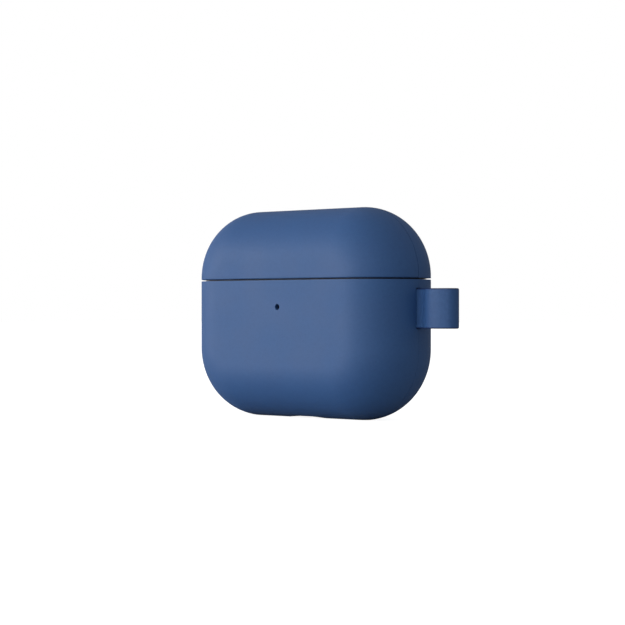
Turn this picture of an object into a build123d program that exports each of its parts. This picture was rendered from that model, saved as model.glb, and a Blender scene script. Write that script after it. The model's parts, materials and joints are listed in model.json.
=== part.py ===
from build123d import *
from math import asin, degrees
import os

# Wireless earbuds case in a fitted two-skin cover, with a folded strap loop on its right side.
#
# The charging case inside is a hard two-part shell with a hinge along its rear edge. The lower half
# holds a cradle with two earbud wells, the battery, the circuit board, the charging coil and the
# charging socket. A thin hard frame and two soft skins, front and rear, cover each half.
#
# Frame: the origin is the middle of the base, at the mouth of the charging opening. +X runs to the
# strap side, +Y to the hinge side and +Z up. Every length is in millimetres.

# ---- Covered case ----
WIDTH = 63.4
DEPTH = 24.2
HEIGHT = 48.2
TOP_RADIUS = 15.8
BOTTOM_RADIUS = 16.1
FOOT_CUT = 0.1              # height of the round base that the flat foot takes off
ROUND_GAP = 0.01            # what keeps the full-round edge just short of half the depth

# ---- Nested layers, each given as its distance in from the outside ----
SKIN_IN = 0.95
FRAME_OUT, FRAME_IN = 1.0, 1.45
SHELL_OUT, SHELL_IN = 1.5, 2.7
INSERT_OUT = 2.75
INSERT_PLATE = 1.2

# ---- The parting between body and lid ----
SEAM_Z = 31.85
SKIN_GAP = 0.34
SHELL_GAP = 0.14
RIM_ROUND = 0.22
SIDE_SEAM_GAP = 0.06
BODY_SKIN_RIM, LID_SKIN_RIM = SEAM_Z - SKIN_GAP / 2, SEAM_Z + SKIN_GAP / 2
BODY_RIM, LID_RIM = SEAM_Z - SHELL_GAP / 2, SEAM_Z + SHELL_GAP / 2

# ---- Pinhole for the status light, and the light pipe behind it ----
LIGHT_Z = 25.55
PINHOLE_RADIUS = 0.68
LIGHT_PIPE_RADIUS, LIGHT_PIPE_Y = 0.55, (-10.55, -7.05)
LIGHT_PIPE_CLEARANCE = 0.05

# ---- Charging opening in the base of the cover ----
PORT_LENGTH, PORT_WIDTH = 12.0, 6.8

# ---- Strap ----
STRAP_THICKNESS = 0.75
STRAP_WIDTH = 8.85
STRAP_Z = 25.2
STRAP_LOOP_HALF = 2.75      # outer half width of the loop where it is widest
STRAP_WIDEST_X = 37.8
STRAP_CROWN, STRAP_CROWN_TURN = 7.3, 28.0   # outer radius and angle of each long side of the loop's end
STRAP_TAIL_ANGLE = 26.0
STRAP_TURN = 0.6            # centre-line radius where the tails turn out through the side
STRAP_CLEARANCE = 0.06
STRAP_RECESS = 0.15         # how much deeper the recess is than the tails need
STRAP_SLOT_SPARE = 1.5      # degrees by which the recess runs past each tail

# ---- Hinge ----
HINGE_Y, HINGE_Z = 10.9, SEAM_Z
BARREL_RADIUS = 1.15
PIN_RADIUS, PIN_FIT, PIN_RUNNING, PIN_CHAMFER = 0.45, 0.01, 0.05, 0.11
HINGE_HALF = 16.8
BODY_KNUCKLES = ((-HINGE_HALF, -11.9), (11.9, HINGE_HALF))
LID_KNUCKLES = ((-11.8, -4.9), (4.9, 11.8))
LEAF_FRONT, LEAF_BACK = 8.75, 9.35
LEAF_NEAR, LEAF_FAR = 0.6, 4.6      # the leaf's edges, as distances from the hinge line
LEAF_CLEARANCE = 0.1
WINDOW_HALF_LENGTH, WINDOW_HALF_HEIGHT, WINDOW_CORNER = 25.2, 2.2, 1.4
WINDOW_DEPTH = 4.5
NOTCH_HALF_LENGTH, NOTCH_HALF_HEIGHT = 17.3, 1.45
SCREW_X, SCREW_FROM_AXIS = (-14.3, 14.3), 3.2
SCREW_RADIUS, SCREW_LENGTH, SCREW_FIT = 0.4, 1.5, 0.02
SCREW_HEAD_RADIUS, SCREW_HEAD, SCREW_RECESS = 0.8, 0.45, 0.22
SPRING_RADIUS, SPRING_WIRE, SPRING_PITCH, SPRING_HALF = 0.8, 0.15, 0.85, 4.25

# ---- Earbud wells in the body, and the domes over them in the lid ----
WELL_X = 15.4
WELL_HALF_X, WELL_HALF_Y = 8.7, 7.2
WELL_DEPTH, WELL_FLOOR_ROUND = 7.5, 4.0
DOME_HEIGHT, DOME_ROUND = 9.6, 5.0
WELL_WALL = 0.9
STEM_X, STEM_Y = 17.2, 0.6
STEM_RADIUS, STEM_FLOOR_Z = 3.5, 7.6
LEAD_IN = 0.5

# ---- Charging contacts: spring pins in pairs at the foot of each well ----
CONTACT_OFFSETS = (-1.4, 1.4)
CONTACT_BARREL_RADIUS, CONTACT_BORE = 0.75, 0.5
CONTACT_BARREL_LOW, CONTACT_BARREL_TOP, CONTACT_BORE_LOW = 5.5, 7.9, 5.9
PLUNGER_RADIUS, PLUNGER_LOW, PLUNGER_TIP, PLUNGER_ROUND = 0.45, 6.7, 8.7, 0.22
CONTACT_BOARD_LENGTH, CONTACT_BOARD_WIDTH, CONTACT_BOARD_THICKNESS = 7.0, 5.0, 0.6
CONTACT_BOARD_CORNER = 0.75

# ---- Main board, with what stands on it ----
BOARD_FRONT, BOARD_REAR = 1.7, 2.3
BOARD_HALF, BOARD_LOW, BOARD_TOP = 11.5, 3.9, 22.8
TAB_HALF, TAB_TOP = 5.0, 29.4
CAN_X, CAN_Z, CAN_HEIGHT, CAN_ROUND = (-9.5, -3.5), (11.6, 20.0), 1.1, 0.55
SENSOR_HALF, SENSOR_DEPTH, SENSOR_Z = 1.4, 0.9, (27.6, 28.9)
# Each chip as its middle in X and Z, then its length, height and thickness.
CHIPS = (
    (6.4, 17.8, 4.0, 4.0, 0.9),
    (6.6, 12.4, 3.0, 3.0, 1.4),
    (9.9, 20.6, 1.6, 0.8, 0.6),
    (9.9, 15.2, 1.6, 0.8, 0.6),
    (-7.2, 7.4, 2.4, 1.4, 0.8),
    (7.2, 7.4, 2.4, 1.4, 0.8),
)

# ---- Charging socket ----
SOCKET_LENGTH, SOCKET_WIDTH, SOCKET_WALL = 8.94, 3.26, 0.3
SOCKET_MOUTH, SOCKET_BACK = 1.7, 9.0
TONGUE_HALF_LENGTH, TONGUE_HALF, TONGUE_MOUTH, TONGUE_ROUND = 3.35, 0.35, 2.5, 0.17
PAD_PITCH, PAD_WIDTH, PAD_THICKNESS, PADS_A_SIDE = 0.5, 0.26, 0.05, 12
TRIM_LENGTH, TRIM_WIDTH, TRIM_LOW, TRIM_TOP = 10.8, 5.0, 1.6, 2.65
TRIM_FIT, TRIM_ROUND = 0.04, 0.16

# ---- Battery ----
BATTERY_HALF, BATTERY_Y, BATTERY_Z = 11.8, (-5.5, 1.2), (9.6, 22.9)
BATTERY_ROUND = 0.8
BATTERY_PAD_HALF, BATTERY_PAD_Y, BATTERY_PAD_Z = 9.5, (1.25, 1.65), (11.0, 21.0)
GUARD_HALF, GUARD_Y, GUARD_Z = 6.5, (-4.0, 0.2), (22.9, 23.4)
BATTERY_LEAD_X = (-3.2, 3.2)
LEAD_RADIUS = 0.2

# ---- Status light ----
LED_BOARD_HALF, LED_BOARD_Y, LED_BOARD_Z = 4.0, (-6.4, -5.8), (22.9, 27.2)
LED_HALF, LED_Y = 0.8, (-7.0, -6.4)
FLEX_HALF, FLEX_Z = 1.5, (23.65, 23.85)

# ---- Wireless charging coil ----
COIL_Z = 18.8
COIL_Y, FERRITE_Y = (8.3, 9.1), (7.85, 8.25)
COIL_INNER, COIL_OUTER = 4.6, 8.0
COIL_TURNS, COIL_GROOVE = 7, 0.12
FERRITE_RADIUS, FERRITE_HOLE = 8.2, 2.4
COIL_LEAD_X = (-1.5, 1.5)

# ---- Pairing button ----
BUTTON_RADIUS, BUTTON_CLEARANCE, BUTTON_FACE, BUTTON_ROUND = 3.2, 0.12, 10.55, 0.24
BUTTON_FLANGE_RADIUS, BUTTON_FLANGE_Y = 3.8, (8.75, 9.25)
BUTTON_STEM_RADIUS, BUTTON_STEM_END = 1.0, 4.4
BUTTON_OPENING = 4.2
SWITCH_HALF, SWITCH_CASE, SWITCH_NUB_RADIUS, SWITCH_NUB = 1.7, 3.4, 0.9, 3.9

# ---- Magnets ----
LATCH_HALF, LATCH_Y = 4.5, (-8.6, -6.2)
BODY_LATCH_Z, LID_LATCH_Z = (27.4, 30.4), (33.2, 36.2)
EARBUD_MAGNET_RADIUS, EARBUD_MAGNET_Z = 2.0, (21.2, 23.2)
EARBUD_MAGNET_X, EARBUD_MAGNET_Y = 9.5, 4.9
SENSOR_MAGNET_RADIUS, SENSOR_MAGNET_Y, SENSOR_MAGNET_Z = 1.5, 1.2, (33.2, 34.4)

PAST = 2.0                  # how far a cutting shape runs past what it cuts
TOUCH = 0.001               # how near an edge lies to a level to count as on it
OUTER_BAND = 0.01           # depth of the band under the outside that holds the outer edges

os.makedirs("parts", exist_ok=True)


def keep(piece, name):
    """Labels a finished sub-part and writes it under its node name."""
    piece.part.label = name
    export_step(piece.part, f"parts/{name}.step")


def form(inset):
    """The case's full-round outer form, drawn in by a distance on every side."""
    width, depth = WIDTH - 2 * inset, DEPTH - 2 * inset
    low, high = inset - FOOT_CUT, HEIGHT - inset
    with BuildPart() as made:
        with BuildSketch(Plane.XZ.offset(-depth / 2)):
            with Locations((0, (low + high) / 2)):
                Rectangle(width, high - low)
        extrude(amount=depth)
        corners = made.edges().filter_by(Axis.Y).group_by(Axis.Z)
        fillet(corners[0], BOTTOM_RADIUS - inset)
        fillet(made.edges().filter_by(Axis.Y).group_by(Axis.Z)[-1], TOP_RADIUS - inset)
        fillet(made.faces().filter_by(Axis.Y).edges(), depth / 2 - ROUND_GAP)
    return made.part


def layer(outer, inner, side, rim):
    """One nested shell, kept above or below its rim."""
    with BuildPart() as made:
        add(form(outer))
        add(form(inner), mode=Mode.SUBTRACT)
        split(bisect_by=Plane.XY.offset(rim), keep=side)
    return made.part


def block(x, y, z):
    """A plain cutting block between two limits on each axis."""
    with BuildPart() as made:
        with BuildSketch(Plane.XY.offset(z[0])):
            with Locations(((x[0] + x[1]) / 2, (y[0] + y[1]) / 2)):
                Rectangle(x[1] - x[0], y[1] - y[0])
        extrude(amount=z[1] - z[0])
    return made.part


def rod(plane, radius, length):
    """A round bar that starts on a plane and runs along its normal."""
    with BuildPart() as made:
        with BuildSketch(plane):
            Circle(radius)
        extrude(amount=length)
    return made.part


def slot_bar(length, width, low, high):
    """An upright bar of slot section, round at both ends."""
    with BuildPart() as made:
        with BuildSketch(Plane.XY.offset(low)):
            SlotOverall(length, width)
        extrude(amount=high - low)
    return made.part


def rear_plane(x, y, z):
    """A plane whose normal points to the rear, +Y."""
    return Plane(origin=(x, y, z), x_dir=(1, 0, 0), z_dir=(0, 1, 0))


def hinge_line(x):
    """A plane on the hinge line whose normal runs along it, +X."""
    return Plane(origin=(x, HINGE_Y, HINGE_Z), x_dir=(0, 1, 0), z_dir=(1, 0, 0))


def hinge_window():
    """What the cover gives up along the rear edge, so that the hinge shows and the lid can turn."""
    with BuildPart() as made:
        with BuildSketch(rear_plane(0, DEPTH / 2 - WINDOW_DEPTH, HINGE_Z)):
            RectangleRounded(2 * WINDOW_HALF_LENGTH, 2 * WINDOW_HALF_HEIGHT, WINDOW_CORNER)
        extrude(amount=WINDOW_DEPTH + PAST)
    return made.part


def hinge_pocket(half_height):
    """Room for the hinge at the rear, from just ahead of its leaves to past the outside."""
    return block(
        (-NOTCH_HALF_LENGTH, NOTCH_HALF_LENGTH),
        (LEAF_FRONT - LEAF_CLEARANCE, DEPTH / 2 + PAST),
        (HINGE_Z - half_height, HINGE_Z + half_height),
    )


def screw_holes(way, radius):
    """The pair of holes for a leaf's screws. Way is -1 below the hinge line and 1 above it."""
    with BuildPart() as made:
        with BuildSketch(rear_plane(0, LEAF_FRONT, HINGE_Z + way * SCREW_FROM_AXIS)):
            with Locations(*[(x, 0) for x in SCREW_X]):
                Circle(radius)
        extrude(amount=SCREW_LENGTH)
    return made.part


def screws(way):
    """The pair of small pan-head screws through one leaf, with cross recesses."""
    with BuildPart() as made:
        add(screw_holes(way, SCREW_RADIUS))
        with BuildSketch(rear_plane(0, LEAF_FRONT, HINGE_Z + way * SCREW_FROM_AXIS)):
            with Locations(*[(x, 0) for x in SCREW_X]):
                Circle(SCREW_HEAD_RADIUS)
        extrude(amount=-SCREW_HEAD)
        with BuildSketch(rear_plane(0, LEAF_FRONT - SCREW_HEAD, HINGE_Z + way * SCREW_FROM_AXIS)):
            with Locations(*[(x, 0) for x in SCREW_X]):
                Rectangle(SCREW_HEAD_RADIUS, SCREW_RECESS)
                Rectangle(SCREW_RECESS, SCREW_HEAD_RADIUS)
        extrude(amount=SCREW_HEAD / 2, mode=Mode.SUBTRACT)
    return made.part


def hinge_leaf(way, knuckles, bore):
    """A leaf, its webs and its knuckles. Way is -1 for the body's leaf and 1 for the lid's."""
    near, far = HINGE_Z + way * LEAF_NEAR, HINGE_Z + way * LEAF_FAR
    tangent = HINGE_Z + way * BARREL_RADIUS
    with BuildPart() as made:
        add(block((-HINGE_HALF, HINGE_HALF), (LEAF_FRONT, LEAF_BACK), sorted((near, far))))
        for low, high in knuckles:
            add(block((low, high), (LEAF_FRONT, HINGE_Y), sorted((near, tangent))))
            add(rod(hinge_line(low), BARREL_RADIUS, high - low))
        add(rod(hinge_line(-HINGE_HALF), bore, 2 * HINGE_HALF), mode=Mode.SUBTRACT)
        add(screw_holes(way, SCREW_RADIUS + SCREW_FIT), mode=Mode.SUBTRACT)
    return made.part


def hollow(side, wall, rim, way, depth, rounding):
    """The bowl of a well (way -1) or the dome over it (way 1), grown outwards by a wall."""
    past = 0 if wall else PAST
    with BuildPart() as made:
        with BuildSketch(Plane.XY.offset(rim - way * past)):
            with Locations((side * WELL_X, 0)):
                Ellipse(WELL_HALF_X + wall, WELL_HALF_Y + wall)
        extrude(amount=way * (past + depth + wall))
        floor_edge = made.edges().sort_by(Axis.Z)[0 if way < 0 else -1]
        fillet(floor_edge, rounding + wall)
    return made.part


def stem_tube(side, wall):
    """The tube for an earbud's stem, from the well's floor down, grown outwards by a wall."""
    low = STEM_FLOOR_Z - wall
    high = BODY_RIM - WELL_DEPTH + WELL_FLOOR_ROUND / 2
    return rod(Plane(origin=(side * STEM_X, STEM_Y, low)), STEM_RADIUS + wall, high - low)


def contact_rods(side, radius, low, high):
    """The pair of upright rods at the foot of one stem tube."""
    with BuildPart() as made:
        with BuildSketch(Plane.XY.offset(low)):
            with Locations(*[(side * STEM_X + offset, STEM_Y) for offset in CONTACT_OFFSETS]):
                Circle(radius)
        extrude(amount=high - low)
    return made.part


def strap_slot():
    """The side slot that the strap comes out of, with the recess that holds its two tails."""
    end_x = WIDTH / 2 - DEPTH / 2
    tail_in = DEPTH / 2 - FRAME_IN - STRAP_RECESS
    tail_out = DEPTH / 2 - FRAME_IN + STRAP_THICKNESS + STRAP_CLEARANCE
    half_exit = STRAP_THICKNESS + SIDE_SEAM_GAP / 2 + STRAP_CLEARANCE
    low = STRAP_Z - STRAP_WIDTH / 2 - STRAP_CLEARANCE
    with BuildPart() as made:
        with BuildSketch(Plane.XY.offset(low)):
            with Locations((end_x, 0)):
                Circle(tail_out)
                Circle(tail_in, mode=Mode.SUBTRACT)
            with Locations((end_x - DEPTH, 0)):
                Rectangle(2 * DEPTH, 2 * DEPTH, mode=Mode.SUBTRACT)
            with BuildLine():
                reach = Vector(DEPTH, 0).rotate(Axis.Z, STRAP_TAIL_ANGLE + STRAP_SLOT_SPARE)
                Polyline(
                    (end_x, 0),
                    (end_x + reach.X, reach.Y),
                    (end_x + reach.X, -reach.Y),
                    close=True,
                )
            make_face(mode=Mode.INTERSECT)
            with Locations((end_x + DEPTH / 2, 0)):
                Rectangle(2 * (DEPTH / 2 - tail_in), 2 * half_exit)
        extrude(amount=STRAP_WIDTH + 2 * STRAP_CLEARANCE)
    return made.part


PORT_CUT = slot_bar(PORT_LENGTH, PORT_WIDTH, -PAST, SHELL_OUT)
WINDOW = hinge_window()
STRAP_CUT = strap_slot()
PINHOLE = rod(rear_plane(0, -DEPTH / 2 - PAST, LIGHT_Z), PINHOLE_RADIUS, SHELL_OUT + PAST)
BUTTON_CUT = rod(rear_plane(0, DEPTH / 2 - SHELL_OUT, COIL_Z), BUTTON_OPENING, SHELL_OUT + PAST)

# ---- Cover: two soft skins on each half, meeting at a seam round the side ----
for zone, side, rim in (("body", Keep.BOTTOM, BODY_SKIN_RIM), ("lid", Keep.TOP, LID_SKIN_RIM)):
    whole_skin = layer(0, SKIN_IN, side, rim)
    for half, facing in (("front", Keep.TOP), ("rear", Keep.BOTTOM)):
        seam = Plane.XZ.offset(SIDE_SEAM_GAP / 2 if half == "front" else -SIDE_SEAM_GAP / 2)
        with BuildPart() as skin:
            add(whole_skin)
            split(bisect_by=seam, keep=facing)
            rim_edges = skin.edges().filter_by_position(Axis.Z, rim - TOUCH, rim + TOUCH)
            outermost = [e for e in rim_edges if form(OUTER_BAND).distance_to(e @ 0.5) > 0]
            fillet(outermost, RIM_ROUND)
            if zone == "body":
                split(bisect_by=Plane.XY, keep=Keep.TOP)
                add(PORT_CUT, mode=Mode.SUBTRACT)
                add(STRAP_CUT, mode=Mode.SUBTRACT)
            if half == "front":
                add(PINHOLE, mode=Mode.SUBTRACT)
            else:
                add(WINDOW, mode=Mode.SUBTRACT)
                add(BUTTON_CUT, mode=Mode.SUBTRACT)
        keep(skin, f"cover_{zone}_{half}_skin")

# ---- Cover: the hard frame that each pair of skins is bonded to ----
with BuildPart() as cover_body_frame:
    add(layer(FRAME_OUT, FRAME_IN, Keep.BOTTOM, BODY_RIM))
    for cut in (PORT_CUT, STRAP_CUT, PINHOLE, WINDOW, BUTTON_CUT):
        add(cut, mode=Mode.SUBTRACT)
keep(cover_body_frame, "cover_body_frame")

with BuildPart() as cover_lid_frame:
    add(layer(FRAME_OUT, FRAME_IN, Keep.TOP, LID_RIM))
    add(WINDOW, mode=Mode.SUBTRACT)
keep(cover_lid_frame, "cover_lid_frame")

# ---- Strap: one band, folded into a loop, its tails spread behind the skins ----
end_x = WIDTH / 2 - DEPTH / 2
half = STRAP_THICKNESS / 2
lane = SIDE_SEAM_GAP / 2 + half
tail_radius = DEPTH / 2 - FRAME_IN + half + STRAP_CLEARANCE / 2
enter_angle = degrees(asin((lane + STRAP_TURN) / (tail_radius + STRAP_TURN)))
loop_half = STRAP_LOOP_HALF - half
crown_radius = STRAP_CROWN - half
with BuildPart() as strap_loop:
    with BuildSketch(Plane.XY.offset(STRAP_Z - STRAP_WIDTH / 2)):
        with BuildLine():
            tail = CenterArc((end_x, 0), tail_radius, -STRAP_TAIL_ANGLE, STRAP_TAIL_ANGLE - enter_angle)
            bend = JernArc(tail @ 1, tail % 1, STRAP_TURN, enter_angle - 90)
            mouth = Line(bend @ 1, (WIDTH / 2 + half, -lane))
            shoulder = Vector(STRAP_WIDEST_X, -loop_half)
            flare = TangentArc(mouth @ 1, (mouth @ 1 + shoulder) / 2, tangent=(1, 0))
            TangentArc(flare @ 1, shoulder, tangent=flare % 1)
            crown = JernArc(shoulder, (1, 0), crown_radius, STRAP_CROWN_TURN)
            inward = (crown % 1).rotate(Axis.Z, 90)
            tip_radius = -(crown @ 1).Y / inward.Y
            tip_centre = crown @ 1 + inward * tip_radius
            CenterArc(tip_centre, tip_radius, STRAP_CROWN_TURN - 90, 90 - STRAP_CROWN_TURN)
            mirror(about=Plane.XZ)
        trace(line_width=STRAP_THICKNESS)
    extrude(amount=STRAP_WIDTH)
keep(strap_loop, "strap_loop")

# ---- Charging case: the hard shells of body and lid ----
with BuildPart() as case_body_shell:
    add(layer(SHELL_OUT, SHELL_IN, Keep.BOTTOM, BODY_RIM))
    add(hinge_pocket(NOTCH_HALF_HEIGHT), mode=Mode.SUBTRACT)
    add(screw_holes(-1, SCREW_RADIUS + SCREW_FIT), mode=Mode.SUBTRACT)
    add(slot_bar(TRIM_LENGTH, TRIM_WIDTH, 0, SHELL_IN + PAST), mode=Mode.SUBTRACT)
    pipe_radius = LIGHT_PIPE_RADIUS + LIGHT_PIPE_CLEARANCE
    add(rod(rear_plane(0, -DEPTH / 2, LIGHT_Z), pipe_radius, SHELL_IN + PAST), mode=Mode.SUBTRACT)
    cap_radius = BUTTON_RADIUS + BUTTON_CLEARANCE
    add(rod(rear_plane(0, BUTTON_FLANGE_Y[1], COIL_Z), cap_radius, PAST), mode=Mode.SUBTRACT)
keep(case_body_shell, "case_body_shell")

with BuildPart() as case_lid_shell:
    add(layer(SHELL_OUT, SHELL_IN, Keep.TOP, LID_RIM))
    add(hinge_pocket(NOTCH_HALF_HEIGHT), mode=Mode.SUBTRACT)
    add(screw_holes(1, SCREW_RADIUS + SCREW_FIT), mode=Mode.SUBTRACT)
keep(case_lid_shell, "case_lid_shell")

# ---- Cradle: the plate inside the body's rim, with the two earbud wells ----
with BuildPart() as cradle:
    add(block((-WIDTH, WIDTH), (-DEPTH, DEPTH), (BODY_RIM - INSERT_PLATE, BODY_RIM)))
    for side in (-1, 1):
        add(hollow(side, WELL_WALL, BODY_RIM, -1, WELL_DEPTH, WELL_FLOOR_ROUND))
        add(stem_tube(side, WELL_WALL))
    add(form(INSERT_OUT), mode=Mode.INTERSECT)
    for side in (-1, 1):
        add(hollow(side, 0, BODY_RIM, -1, WELL_DEPTH, WELL_FLOOR_ROUND), mode=Mode.SUBTRACT)
        add(stem_tube(side, 0), mode=Mode.SUBTRACT)
        sleeve = contact_rods(side, CONTACT_BARREL_RADIUS, CONTACT_BARREL_LOW, STEM_FLOOR_Z + PAST)
        add(sleeve, mode=Mode.SUBTRACT)
    add(hinge_pocket(LEAF_FAR + LEAF_CLEARANCE), mode=Mode.SUBTRACT)
    rim_face = cradle.faces().filter_by(Axis.Z).sort_by(Axis.Z)[-1]
    fillet([edge for wire in rim_face.inner_wires() for edge in wire.edges()], LEAD_IN)
keep(cradle, "cradle")

# ---- Lid liner: the plate inside the lid's rim, with the domes over the earbuds ----
with BuildPart() as lid_liner:
    add(block((-WIDTH, WIDTH), (-DEPTH, DEPTH), (LID_RIM, LID_RIM + INSERT_PLATE)))
    for side in (-1, 1):
        add(hollow(side, WELL_WALL, LID_RIM, 1, DOME_HEIGHT, DOME_ROUND))
    add(form(INSERT_OUT), mode=Mode.INTERSECT)
    for side in (-1, 1):
        add(hollow(side, 0, LID_RIM, 1, DOME_HEIGHT, DOME_ROUND), mode=Mode.SUBTRACT)
    add(hinge_pocket(LEAF_FAR + LEAF_CLEARANCE), mode=Mode.SUBTRACT)
    rim_face = lid_liner.faces().filter_by(Axis.Z).sort_by(Axis.Z)[0]
    fillet([edge for wire in rim_face.inner_wires() for edge in wire.edges()], LEAD_IN)
keep(lid_liner, "lid_liner")

# ---- Hinge ----
with BuildPart() as hinge_body_leaf:
    add(hinge_leaf(-1, BODY_KNUCKLES, PIN_RADIUS + PIN_FIT))
keep(hinge_body_leaf, "hinge_body_leaf")

with BuildPart() as hinge_lid_leaf:
    add(hinge_leaf(1, LID_KNUCKLES, PIN_RADIUS + PIN_RUNNING))
keep(hinge_lid_leaf, "hinge_lid_leaf")

with BuildPart() as hinge_pin:
    add(rod(hinge_line(-HINGE_HALF), PIN_RADIUS, 2 * HINGE_HALF))
    chamfer(hinge_pin.edges().filter_by(GeomType.CIRCLE), PIN_CHAMFER)
keep(hinge_pin, "hinge_pin")

with BuildPart() as hinge_spring:
    with BuildLine():
        coil = Helix(
            SPRING_PITCH,
            2 * SPRING_HALF,
            SPRING_RADIUS,
            center=(-SPRING_HALF, HINGE_Y, HINGE_Z),
            direction=(1, 0, 0),
        )
    with BuildSketch(Plane(origin=coil @ 0, z_dir=coil % 0)):
        Circle(SPRING_WIRE)
    sweep(is_frenet=True)
keep(hinge_spring, "hinge_spring")

for way, zone in ((-1, "body"), (1, "lid")):
    with BuildPart() as hinge_screws:
        add(screws(way))
    keep(hinge_screws, f"hinge_screws_{zone}")

# ---- Main board: an upright board behind the battery, with a tab up between the wells ----
with BuildPart() as main_board:
    with BuildSketch(rear_plane(0, BOARD_FRONT, 0)):
        with BuildLine():
            Polyline(
                (-BOARD_HALF, -BOARD_LOW),
                (BOARD_HALF, -BOARD_LOW),
                (BOARD_HALF, -BOARD_TOP),
                (TAB_HALF, -BOARD_TOP),
                (TAB_HALF, -TAB_TOP),
                (-TAB_HALF, -TAB_TOP),
                (-TAB_HALF, -BOARD_TOP),
                (-BOARD_HALF, -BOARD_TOP),
                close=True,
            )
        make_face()
    extrude(amount=BOARD_REAR - BOARD_FRONT)
keep(main_board, "main_board")

with BuildPart() as board_chips:
    for x, z, length, height, thickness in CHIPS:
        corner = (x - length / 2, z - height / 2)
        add(
            block(
                (corner[0], corner[0] + length),
                (BOARD_REAR, BOARD_REAR + thickness),
                (corner[1], corner[1] + height),
            )
        )
keep(board_chips, "board_chips")

with BuildPart() as shield_can:
    add(block(CAN_X, (BOARD_REAR, BOARD_REAR + CAN_HEIGHT), CAN_Z))
    fillet(shield_can.edges().filter_by(Axis.Y), CAN_ROUND)
keep(shield_can, "shield_can")

with BuildPart() as lid_sensor:
    add(block((-SENSOR_HALF, SENSOR_HALF), (BOARD_FRONT - SENSOR_DEPTH, BOARD_FRONT), SENSOR_Z))
keep(lid_sensor, "lid_sensor")

# ---- Charging socket ----
inner_length, inner_width = SOCKET_LENGTH - 2 * SOCKET_WALL, SOCKET_WIDTH - 2 * SOCKET_WALL
with BuildPart() as socket_shell:
    add(slot_bar(SOCKET_LENGTH, SOCKET_WIDTH, SOCKET_MOUTH, SOCKET_BACK))
    add(
        slot_bar(inner_length, inner_width, SOCKET_MOUTH - PAST, SOCKET_BACK - SOCKET_WALL),
        mode=Mode.SUBTRACT,
    )
keep(socket_shell, "socket_shell")

tongue_back = SOCKET_BACK - SOCKET_WALL
with BuildPart() as socket_tongue:
    tongue_x = (-TONGUE_HALF_LENGTH, TONGUE_HALF_LENGTH)
    add(block(tongue_x, (-TONGUE_HALF, TONGUE_HALF), (TONGUE_MOUTH, tongue_back)))
    fillet(socket_tongue.edges().group_by(Axis.Z)[0].filter_by(Axis.X), TONGUE_ROUND)
keep(socket_tongue, "socket_tongue")

with BuildPart() as socket_contacts:
    for face_y in (-TONGUE_HALF - PAD_THICKNESS, TONGUE_HALF):
        for number in range(PADS_A_SIDE):
            low = (number - (PADS_A_SIDE - 1) / 2) * PAD_PITCH - PAD_WIDTH / 2
            pad_z = (TONGUE_MOUTH + TONGUE_HALF, tongue_back)
            add(block((low, low + PAD_WIDTH), (face_y, face_y + PAD_THICKNESS), pad_z))
keep(socket_contacts, "socket_contacts")

with BuildPart() as socket_trim:
    add(slot_bar(TRIM_LENGTH - 2 * TRIM_FIT, TRIM_WIDTH - 2 * TRIM_FIT, TRIM_LOW, TRIM_TOP))
    throat = slot_bar(SOCKET_LENGTH + 2 * TRIM_FIT, SOCKET_WIDTH + 2 * TRIM_FIT, 0, SHELL_IN + PAST)
    add(throat, mode=Mode.SUBTRACT)
    fillet(socket_trim.faces().sort_by(Axis.Z)[0].edges(), TRIM_ROUND)
keep(socket_trim, "socket_trim")

# ---- Battery ----
with BuildPart() as battery_cell:
    add(block((-BATTERY_HALF, BATTERY_HALF), BATTERY_Y, BATTERY_Z))
    fillet(battery_cell.edges().filter_by(Axis.Z), BATTERY_ROUND)
keep(battery_cell, "battery_cell")

with BuildPart() as battery_guard_board:
    add(block((-GUARD_HALF, GUARD_HALF), GUARD_Y, GUARD_Z))
keep(battery_guard_board, "battery_guard_board")

with BuildPart() as battery_pad:
    add(block((-BATTERY_PAD_HALF, BATTERY_PAD_HALF), BATTERY_PAD_Y, BATTERY_PAD_Z))
keep(battery_pad, "battery_pad")

with BuildPart() as battery_leads:
    for x in BATTERY_LEAD_X:
        start = rear_plane(x, GUARD_Y[1], (GUARD_Z[0] + GUARD_Z[1]) / 2)
        add(rod(start, LEAD_RADIUS, BOARD_FRONT - GUARD_Y[1]))
keep(battery_leads, "battery_leads")

# ---- Status light ----
with BuildPart() as led_board:
    add(block((-LED_BOARD_HALF, LED_BOARD_HALF), LED_BOARD_Y, LED_BOARD_Z))
keep(led_board, "led_board")

with BuildPart() as status_led:
    add(block((-LED_HALF, LED_HALF), LED_Y, (LIGHT_Z - LED_HALF, LIGHT_Z + LED_HALF)))
keep(status_led, "status_led")

with BuildPart() as light_pipe:
    pipe_length = LIGHT_PIPE_Y[1] - LIGHT_PIPE_Y[0]
    add(rod(rear_plane(0, LIGHT_PIPE_Y[0], LIGHT_Z), LIGHT_PIPE_RADIUS, pipe_length))
keep(light_pipe, "light_pipe")

with BuildPart() as led_flex:
    add(block((-FLEX_HALF, FLEX_HALF), (LED_BOARD_Y[1], BOARD_FRONT), FLEX_Z))
keep(led_flex, "led_flex")

# ---- Wireless charging coil, its ferrite sheet and its leads ----
with BuildPart() as charging_coil:
    with BuildSketch(rear_plane(0, COIL_Y[0], COIL_Z)):
        Circle(COIL_OUTER)
        Circle(COIL_INNER, mode=Mode.SUBTRACT)
    extrude(amount=COIL_Y[1] - COIL_Y[0])
    pitch = (COIL_OUTER - COIL_INNER) / COIL_TURNS
    with BuildSketch(rear_plane(0, COIL_Y[1], COIL_Z)):
        for number in range(1, COIL_TURNS):
            Circle(COIL_INNER + number * pitch + COIL_GROOVE / 2)
            Circle(COIL_INNER + number * pitch - COIL_GROOVE / 2, mode=Mode.SUBTRACT)
    extrude(amount=-COIL_GROOVE, mode=Mode.SUBTRACT)
keep(charging_coil, "charging_coil")

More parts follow.
